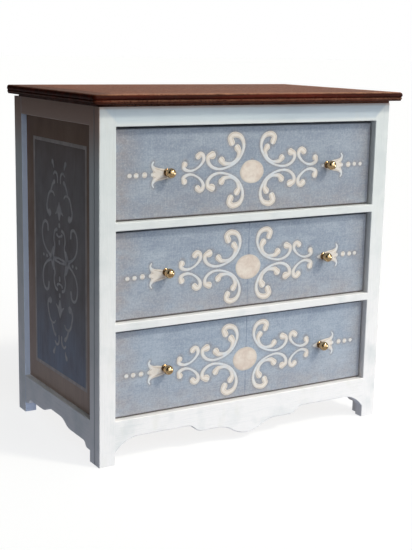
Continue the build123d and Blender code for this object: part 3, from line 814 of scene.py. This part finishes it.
def knob_profile(ball, length):
    """(radius, distance in front of the face) from the shank's end to the tip of a ball of this radius."""
    shank = [(0.02, -SHANK_LENGTH), (SHANK - CHAMFER, -SHANK_LENGTH)]
    shank += [(SHANK, CHAMFER - SHANK_LENGTH), (SHANK, -0.02)]
    collar = [(COLLAR - 0.05, 0.0), (COLLAR, CHAMFER), (COLLAR, 0.12), (0.79, 0.18)]
    cone = [(0.66, 0.24), (0.55, 0.34), (NECK, 0.42)]
    bead = arc((NECK, 0.58), 0.1, -75, 75, 6)
    start = degrees(asin(NECK / ball)) - 90
    return shank + collar + cone + bead + arc((0, length - ball), ball, start, 89, 26)


def knob(name, side):
    """A turned knob in place of the plain one."""
    node = f"{name}_drawer_{side}_knob"
    low, high = in_mm(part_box(node))
    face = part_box(f"{name}_drawer_front")[0].y / MM
    centre = (low + high) / 2
    turns = [tau * step / KNOB_SEGMENTS for step in range(KNOB_SEGMENTS)]
    mesh = bmesh.new()
    rings = []
    for out, forward in knob_profile((high.x - low.x) / 2, face - low.y):
        rings.append([(centre.x + out * cos(turn), face - forward, centre.z + out * sin(turn))
                      for turn in turns])
    loft(mesh, rings)
    piece = new_piece(f"{node}_turned", mesh, [BRASS_FINISH], f"{name}_drawer")
    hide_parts(node)


# ---- Moulded top ----
TOP_CORNER = 1.0
TOP_BACK_EDGE = 0.7
TOP_THICKNESS = TOP_HIGH.z - TOP_LOW.z
NOSE = 0.75  # radius of the rounded upper edge
NOSE_FOOT = 1.12  # the nose ends at this height, over the cove
COVE = 0.27
BEAD = 0.26
BEAD_INSET = 0.4  # the bead's middle is this far in from the edge
BEAD_HEIGHT = 0.58
# Along the bead and the nose, the rubbed wear also paints a highlight.
BEAD_WEAR_AND_HIGHLIGHT = 0.26
NOSE_WEAR_AND_HIGHLIGHT = (0, 0, 0, 0, 0, 0, 0.15, 0.45, 0.75, 0.9, 0.9, 0.8)
FLAT_WEAR = ((1.1, 0.8), (1.6, 0.7), (2.3, 0.6), (3.1, 0.25), (4.0, 0.0), (6.0, 0.0))  # (inset, wear)
LONG_STEPS, SHORT_STEPS, CORNER_STEPS = 190, 110, 8
LONG_WAVE, MIDDLE_WAVE, SHORT_WAVE = 5.0, 3.1, 1.3  # lengths of the uneven stretches of an edge
BROAD_PATCH, FINE_PATCH = 2.4, 0.7  # and of its patches of rubbing and painted highlight
TOP_UNEVENNESS, SUB_UNEVENNESS = 0.14, 0.2  # how far the edges stray inwards
SHADED_LEFT_END = 5  # the left end shows less rubbing and highlight over this width, a painted shade


def moulding_profile():
    """(inset, height above the underside, wear and painted highlight) from the underside, round the edge, to
    the top.
    """
    base = [(3.0, 0.0, 0.0), (0.6, 0.0, 0.0)]
    base += [(BEAD_INSET, 0.06, 0.1), (BEAD_INSET, BEAD_HEIGHT - BEAD, 0.1)]
    bead = arc((0, BEAD_HEIGHT), BEAD, -90, 90, 8)
    bead = [(BEAD_INSET - reach, height, BEAD_WEAR_AND_HIGHLIGHT) for reach, height in bead]
    cove = arc((0, NOSE_FOOT), COVE, 270, 350, 7)
    cove = [(BEAD_INSET - reach, height, 0.0) for reach, height in cove]
    nose = arc((0.0, TOP_THICKNESS - NOSE), NOSE, -6, 90, 11)
    nose = [(NOSE - reach, height, rub_and_highlight) for (reach, height), rub_and_highlight in zip(nose, NOSE_WEAR_AND_HIGHLIGHT)]
    flat = [(inset, TOP_THICKNESS, rub_and_highlight) for inset, rub_and_highlight in FLAT_WEAR]
    return base + bead + cove + [(0.1, NOSE_FOOT, 0.0)] + nose + flat


def sub_top_profile():
    """The same for the thin sub-top, whose edge is only softened."""
    height = SUB_HIGH.z - SUB_LOW.z
    under = [(2.0, 0.0, 0.0), (0.12, 0.0, 0.0)]
    edge = [(0.0, 0.12, 0.25), (0.0, height - 0.1, 0.1)]
    over = [(0.1, height, 0.0), (2.0, height, 0.0)]
    return under + edge + over


def top_outline(inset, low, high):
    """The outline of a board with rounded corners, clockwise from its back left corner."""
    radius = max(TOP_CORNER - inset, 0.06)
    left, right, front, back = low.x + inset, high.x - inset, low.y + inset, high.y
    back -= max(0.0, inset - TOP_BACK_EDGE)
    depth = back - front - 2 * radius
    width = right - left - 2 * radius
    points = arc((left + radius, back - radius), radius, 90, 180, CORNER_STEPS)
    points += [(left, back - radius - depth * step / SHORT_STEPS) for step in range(1, SHORT_STEPS)]
    points += arc((left + radius, front + radius), radius, 180, 270, CORNER_STEPS)
    points += [(left + radius + width * step / LONG_STEPS, front) for step in range(1, LONG_STEPS)]
    points += arc((right - radius, front + radius), radius, 270, 360, CORNER_STEPS)
    points += [(right, front + radius + depth * step / SHORT_STEPS) for step in range(1, SHORT_STEPS)]
    return points + arc((right - radius, back - radius), radius, 0, 90, CORNER_STEPS)


def unevenness(point, seed, size):
    """0 to 1, changing along the edge over stretches of this size."""
    return 0.5 + 0.5 * noise.noise(Vector((point[0] / size, point[1] / size, seed)))


def uneven_ring(outline, low, high, height, depth):
    """The outline at this height, straying inwards and sagging by up to about this depth."""
    ring = []
    for x, y in outline:
        sway = unevenness((x, y), 4.0, LONG_WAVE) + 0.5 * unevenness((x, y), height, SHORT_WAVE)
        sway *= depth
        drop = 0.5 * depth * unevenness((x, y), 9.0 + height, MIDDLE_WAVE) * min(1.0, height)
        x -= copysign(min(sway, abs(x)), x) if abs(x) > high.x - 2 else 0.0
        y += sway if y < low.y + 2 else 0.0
        ring.append((x, y, low.z + height - drop))
    return ring


def moulded_board(name, node, profile, depth):
    """A board whose front and side edges follow a profile, cut a little unevenly by hand."""
    low, high = in_mm(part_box(node))
    mesh = bmesh.new()
    # Rubbing on the edge, with a painted highlight along the nose and the bead.
    wear_and_highlight = vertex_values(mesh, "wear_and_highlight")
    rings = []
    for inset, height, _ in profile:
        outline = top_outline(inset, low, high)
        rings.append(uneven_ring(outline, low, high, height, depth * max(0.0, 1 - inset)))
    for row, (_, _, rub_and_highlight) in zip(loft(mesh, rings), profile):
        for vertex in row:
            patchiness = 0.55 + 0.9 * unevenness(vertex.co, 20.0, BROAD_PATCH)
            patchiness -= 0.45 * unevenness(vertex.co, 31.0, FINE_PATCH)
            # Painted shade at the left end: less of the rubbing and highlight shows there.
            left_end_light = min(1.0, 0.25 + max(0.0, vertex.co.x - low.x - 1.0) / SHADED_LEFT_END)
            vertex[wear_and_highlight] = rub_and_highlight * left_end_light * max(0.0, min(1.0, patchiness))
    piece = new_piece(name, mesh, [STAIN_FINISH], "carcass")
    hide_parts(node)


# ---- Side panels: one quarter of the motif, as (out from the middle, up from it, half width) ----
PANEL_BULB = [(5.6, 10.3, 0.9), (6.6, 10.6, 0.5), (7.0, 11.7, 0.35), (6.6, 13.0, 0.33), (5.9, 14.5, 0.36),
              (4.7, 15.3, 0.33), (3.3, 15.2, 0.26), (2.7, 14.6, 0.22)]
PANEL_OUTER = [(6.3, 6.3, 0.42), (6.6, 7.6, 0.4), (7.8, 8.1, 0.38), (9.1, 7.4, 0.34), (9.7, 5.8, 0.34),
               (9.6, 4.2, 0.32), (8.8, 2.6, 0.3), (7.3, 1.4, 0.32), (5.9, 0.75, 0.4), (4.3, 0.0, 0.75)]
PANEL_INNER = [(1.5, 6.95, 0.42), (2.4, 6.6, 0.36), (3.0, 5.6, 0.3), (3.1, 4.4, 0.28), (2.7, 3.2, 0.3),
               (3.3, 1.9, 0.5), (3.9, 0.7, 0.8)]
PANEL_LINK = [(4.5, 15.7, 0.36), (4.0, 16.6, 0.4), (3.4, 17.4, 0.46), (2.7, 17.9, 0.58)]
PANEL_CURL = [(0.75, 17.8, 0.3), (0.75, 18.8, 0.34), (1.2, 19.7, 0.36), (2.2, 20.0, 0.34),
              (3.0, 19.5, 0.26)]
PANEL_TIP = [(3.6, 22.2, 0.6), (3.1, 21.5, 0.34), (2.95, 20.9, 0.16)]
PANEL_LEAF = [(3.5, 2.5, 0.28), (3.9, 1.4, 0.7), (4.3, 0.0, 1.0)]
PANEL_BAR = [(0.0, 0.45, 0.24), (1.8, 0.3, 0.3), (3.6, 0.0, 0.4)]
PANEL_DOTS = [(7.2, 0.45), (9.1, 0.4)]
PANEL_SPINE = [
    [(0.0, 4.0, 0.4), (0.0, 4.5, 0.4)],
    [(0.0, 8.0, 0.45), (0.0, 8.3, 0.45)],
    [(0.0, 9.6, 0.4), (0.0, 10.6, 0.85), (0.0, 11.5, 1.4), (0.0, 12.4, 0.8), (0.0, 13.3, 0.2)],
]
PANEL_WING = [(2.1, 10.6, 0.14), (1.4, 11.0, 0.32), (0.5, 11.6, 0.42)]
PANEL_SMILE = [(1.3, 5.9, 0.42), (0.7, 5.6, 0.26), (0.0, 5.5, 0.22)]
PANEL_QUARTER = (PANEL_BULB, PANEL_OUTER, PANEL_INNER, PANEL_LINK, PANEL_CURL, PANEL_TIP, PANEL_WING,
                 PANEL_SMILE, PANEL_LEAF, PANEL_BAR)


def panel_strokes():
    """All the strokes on one side panel."""
    strokes = []
    for up in (-1, 1):
        for across in (-1, 1):
            for points in PANEL_QUARTER:
                strokes.append(repeated(points, PANEL_WANDER, across, up))
        for points in PANEL_SPINE:
            strokes.append(repeated(points, SPINE_WANDER, 1, up))
    for across in (-1, 1):
        strokes += [brush_stroke(mirrored(dot(out, radius), across, 1)) for out, radius in PANEL_DOTS]
    return strokes


def on_panel(side):
    """Where a point of the panel's stencil lands."""
    sign = -1 if side == "left" else 1

    def place(across, up, lift):
        return Vector((sign * (PANEL_HIGH.x + lift), PANEL_MIDDLE.y + across, PANEL_MIDDLE.z + up))
    return place


def panel_band(side):
    """The line around the field: a domed strip with mitred corners."""
    place = on_panel(side)
    mesh = bmesh.new()
    strip = [(out, lift * PAINT_HEIGHT) for out, lift in SECTION] + [(-1, -PAINT_ROOT), (1, -PAINT_ROOT)]
    rows = []
    for across, up in ((1, 1), (-1, 1), (-1, -1), (1, -1)):
        row = []
        for out, lift in strip:
            inset = out * BAND_WIDTH / 2
            spot = place(across * (BAND_HALF_DEPTH + inset), up * (BAND_HALF_HEIGHT + inset), lift)
            row.append(mesh.verts.new(spot))
        rows.append(row)
    for row, following in zip(rows, rows[1:] + rows[:1]):
        for here in range(len(row)):
            mesh.faces.new((row[here - 1], row[here], following[here], following[here - 1]))
    return new_piece(f"{side}_panel_band", mesh, [BAND_FINISH], "carcass")


# ---- Finishes for the CAD pieces that stay as they are ----
SAME_POINT = 0.001  # corners this close are one
SOFT_EDGE = 0.07  # width of a board's softened edge
SOFT_ANGLE = 40  # edges sharper than this are softened, in degrees


def finish_node(node, material):
    """Gives a CAD piece its material."""
    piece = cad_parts[node]
    piece.data.materials.clear()
    piece.data.materials.append(material)


def soften(node):
    """Takes the hard edge off a plain board."""
    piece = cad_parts[node]
    piece.modifiers.new("joined", "WELD").merge_threshold = SAME_POINT * MM
    bevel = piece.modifiers.new("softened", "BEVEL")
    bevel.width = SOFT_EDGE * MM
    bevel.segments = 2
    bevel.limit_method = "ANGLE"
    bevel.angle_limit = radians(SOFT_ANGLE)
    bevel.harden_normals = True


def finish_frames():
    """White on the frames, brushed along each member, and the smoky paint on the side panels."""
    for node in ("top_rail", "upper_divider", "lower_divider", "front_apron"):
        finish_node(node, WHITE["x"])
    for side in SIDES:
        for member in ("face_stile", "side_front_stile", "side_back_stile"):
            finish_node(f"{side}_{member}", WHITE["z"])
        for member in ("side_top_rail", "side_apron"):
            finish_node(f"{side}_{member}", WHITE["y"])
        finish_node(f"{side}_side_panel", PANEL_FINISH)


def finish_bare_wood():
    """Bare wood, with its grain along each board, on what was never painted."""
    grain = {"back_panel": "x", "bottom_board": "x", "lower_dust_board": "x", "upper_dust_board": "x"}
    for name in DRAWERS:
        grain[f"{name}_drawer_back"] = "x"
        grain[f"{name}_drawer_bottom"] = "x"
        for side in SIDES:
            grain[f"{name}_drawer_{side}_side"] = "y"
            grain[f"{name}_{side}_drawer_guide"] = "y"
    for node, axis in grain.items():
        finish_node(node, WOOD[axis])
        soften(node)


# ---- Studio ----
CAMERA_TURN = -31.25  # degrees around the chest from its front, negative to the left
CAMERA_DIP = 11.965  # degrees down
CAMERA_ROLL = 1.141
CAMERA_DISTANCE = 265.26
CAMERA_AIM = Vector((0.47, -1.46, 0.4412 * HIGHEST.z))
CAMERA_LENS = 71.4
KEY_TURN = 40  # the key light's direction, measured like the camera's
KEY_RISE = 46
KEY_SPREAD = 8  # how wide it looks from the chest, in degrees
KEY_STRENGTH = 1.55
KEY_COLOUR = (1.0, 0.95, 0.80)
FILL_TURN = 62
FILL_RISE = -4
FILL_HEIGHT = 35  # the height on the chest at which it is aimed
FILL_DISTANCE = 250
FILL_SIZE = 90
FILL_POWER = 0.22  # watts
FILL_COLOUR = (0.97, 0.98, 1.0)
PAPER_LIGHT = 0.8  # the paper's own light, as the camera sees it
PAPER_SHADOWED = (0.26, 0.26, 0.26, 1)  # the part of it that takes the shadow
PAPER_DIM = (0.07, 0.07, 0.07, 1)  # the paper as it lights the chest
PAPER_MIRRORED = 0.4  # and as the brass reflects it
GLOW_REACH = (210, 50)  # the glow fades in between these distances from the chest's middle
GLOW_STRENGTH = 0.33  # light thrown up by the paper near the chest
GLOW_COLOUR = (0.78, 0.9, 1.15, 1)
FLOOR_HALF = 6000
FLOOR_SQUARES = 24
ROOM_COLOUR = (0.015, 0.017, 0.02, 1)
# Broad bright parts of the room: turn, rise, where each starts and is full (cosines), and its colour.
BRIGHT_PARTS = [
    (14, 26, 0.55, 1.0, (1.78, 1.93, 2.02, 1)),
    (128, 12, 0.7, 0.98, (0.9, 0.86, 0.82, 1)),
]


def towards(turn, rise):
    """The direction from the chest at this turn from its front, to the right, and this rise; in degrees."""
    turn, rise = radians(turn), radians(rise)
    return Vector((sin(turn) * cos(rise), -cos(turn) * cos(rise), sin(rise)))


def add_camera():
    """The view of the chest from its front left."""
    data = bpy.data.cameras.new("camera")
    data.lens = CAMERA_LENS
    camera = new_object("camera", data)
    place = (CAMERA_AIM + CAMERA_DISTANCE * towards(CAMERA_TURN, CAMERA_DIP)) * MM
    turned = Euler((radians(90 - CAMERA_DIP), 0, radians(CAMERA_TURN))).to_matrix().to_4x4()
    rolled = Matrix.Rotation(radians(CAMERA_ROLL), 4, "Z")
    camera.matrix_world = Matrix.Translation(place) @ turned @ rolled
    bpy.context.scene.camera = camera


def add_key_light():
    """One broad soft light from the upper right, as from a window."""
    data = bpy.data.lights.new("key", "SUN")
    data.energy = KEY_STRENGTH
    data.angle = radians(KEY_SPREAD)
    data.color = KEY_COLOUR
    light = new_object("key", data)
    light.rotation_euler = towards(KEY_TURN, KEY_RISE).to_track_quat("Z", "Y").to_euler()


def add_fill_light():
    """A low soft light on the right, near enough to fade across the chest."""
    data = bpy.data.lights.new("fill", "AREA")
    data.size = FILL_SIZE * MM
    data.energy = FILL_POWER
    data.color = FILL_COLOUR
    light = new_object("fill", data)
    direction = towards(FILL_TURN, FILL_RISE)
    light.location = (Vector((0, 0, FILL_HEIGHT)) + FILL_DISTANCE * direction) * MM
    light.rotation_euler = direction.to_track_quat("Z", "Y").to_euler()
    light.visible_camera = False


def join_shaders(tree, first, second, factor=None):
    """Adds two shaders, or mixes them where a factor is given."""
    node = add_node(tree, "MixShader" if factor else "AddShader")
    shaders = [socket for socket in node.inputs if socket.type == "SHADER"]
    for socket, shader in zip(shaders, (first, second)):
        tree.links.new(shader.outputs[0], socket)
    if factor:
        tree.links.new(factor, node.inputs[0])
    return node


def white_paper():
    """White with a faint shadow for the camera; for the chest, dim with a glow around its feet."""
    paper = Finish("pale_floor")
    seen = paper.add("LightPath").outputs["Is Camera Ray"]
    white = paper.add("Emission", {"Strength": PAPER_LIGHT})
    shadowed = paper.add("BsdfDiffuse", {"Color": PAPER_SHADOWED})
    dim = paper.add("BsdfDiffuse", {"Color": PAPER_DIM})
    reach = paper.add("VectorMath", {0: paper.place}, operation="LENGTH").outputs["Value"]
    strength = paper.product(paper.between(reach, *GLOW_REACH), GLOW_STRENGTH)
    glow = paper.add("Emission", {"Color": GLOW_COLOUR, "Strength": strength})
    to_camera = join_shaders(paper.tree, white, shadowed)
    to_chest = join_shaders(paper.tree, dim, glow)
    reflected = paper.add("Emission", {"Strength": PAPER_MIRRORED})
    glossy = paper.add("LightPath").outputs["Is Glossy Ray"]
    to_chest = join_shaders(paper.tree, to_chest, reflected, glossy)
    both = join_shaders(paper.tree, to_chest, to_camera, seen)
    output = paper.tree.nodes["Material Output"]
    paper.tree.links.new(both.outputs[0], output.inputs["Surface"])
    return paper.material


def add_floor():
    """The sheet of paper that the chest stands on."""
    mesh = bmesh.new()
    bmesh.ops.create_grid(mesh, x_segments=FLOOR_SQUARES, y_segments=FLOOR_SQUARES, size=FLOOR_HALF * MM)
    data = bpy.data.meshes.new("floor")
    mesh.to_mesh(data)
    mesh.free()
    data.materials.append(white_paper())
    floor = new_object("floor", data)


def add_surroundings():
    """White behind everything for the camera; for lighting, a dim room with two broad bright parts."""
    world = bpy.data.worlds.new("studio")
    bpy.context.scene.world = world
    world.use_nodes = True
    tree = world.node_tree
    tree.nodes.clear()
    direction = add_node(tree, "TexCoord").outputs["Generated"]
    room = add_node(tree, "Background", {"Color": ROOM_COLOUR})
    for turn, rise, start, full, colour in BRIGHT_PARTS:
        facing = add_node(tree, "VectorMath", {0: direction, 1: towards(turn, rise)},
                          operation="DOT_PRODUCT")
        limits = {"Value": facing.outputs["Value"], "From Min": start, "From Max": full}
        share = add_node(tree, "MapRange", limits, interpolation_type="SMOOTHSTEP")
        part = add_node(tree, "Background", {"Color": colour, "Strength": share.outputs[0]})
        room = join_shaders(tree, room, part)
    backdrop = add_node(tree, "Background", {"Color": (1.0, 1.0, 1.0, 1)})
    seen = add_node(tree, "LightPath").outputs["Is Camera Ray"]
    both = join_shaders(tree, room, backdrop, seen)
    output = add_node(tree, "OutputWorld")
    tree.links.new(both.outputs[0], output.inputs["Surface"])


def build_studio():
    """The camera, the paper, the room and the lights."""
    add_camera()
    add_floor()
    add_surroundings()
    add_key_light()
    add_fill_light()
    bpy.context.scene.view_settings.view_transform = "Standard"


# ---- Everything ----
moulded_board("top_board_moulded", "top_board", moulding_profile(), TOP_UNEVENNESS)
moulded_board("sub_top_shaped", "sub_top", sub_top_profile(), SUB_UNEVENNESS)
for drawer_name in DRAWERS:
    painted_strokes = drawer_strokes()
    drawer_front(drawer_name, painted_strokes)
    scrolls(f"{drawer_name}_drawer_scrolls", painted_strokes, on_drawer(drawer_name), CREAM_FINISH,
            f"{drawer_name}_drawer")
    drawer_medallion(drawer_name)
    for knob_side in SIDES:
        knob(drawer_name, knob_side)
for panel_side in SIDES:
    scrolls(f"{panel_side}_panel_scrolls", panel_strokes(), on_panel(panel_side), PANEL_CREAM_FINISH,
            "carcass")
    panel_band(panel_side)
finish_frames()
finish_bare_wood()
build_studio()
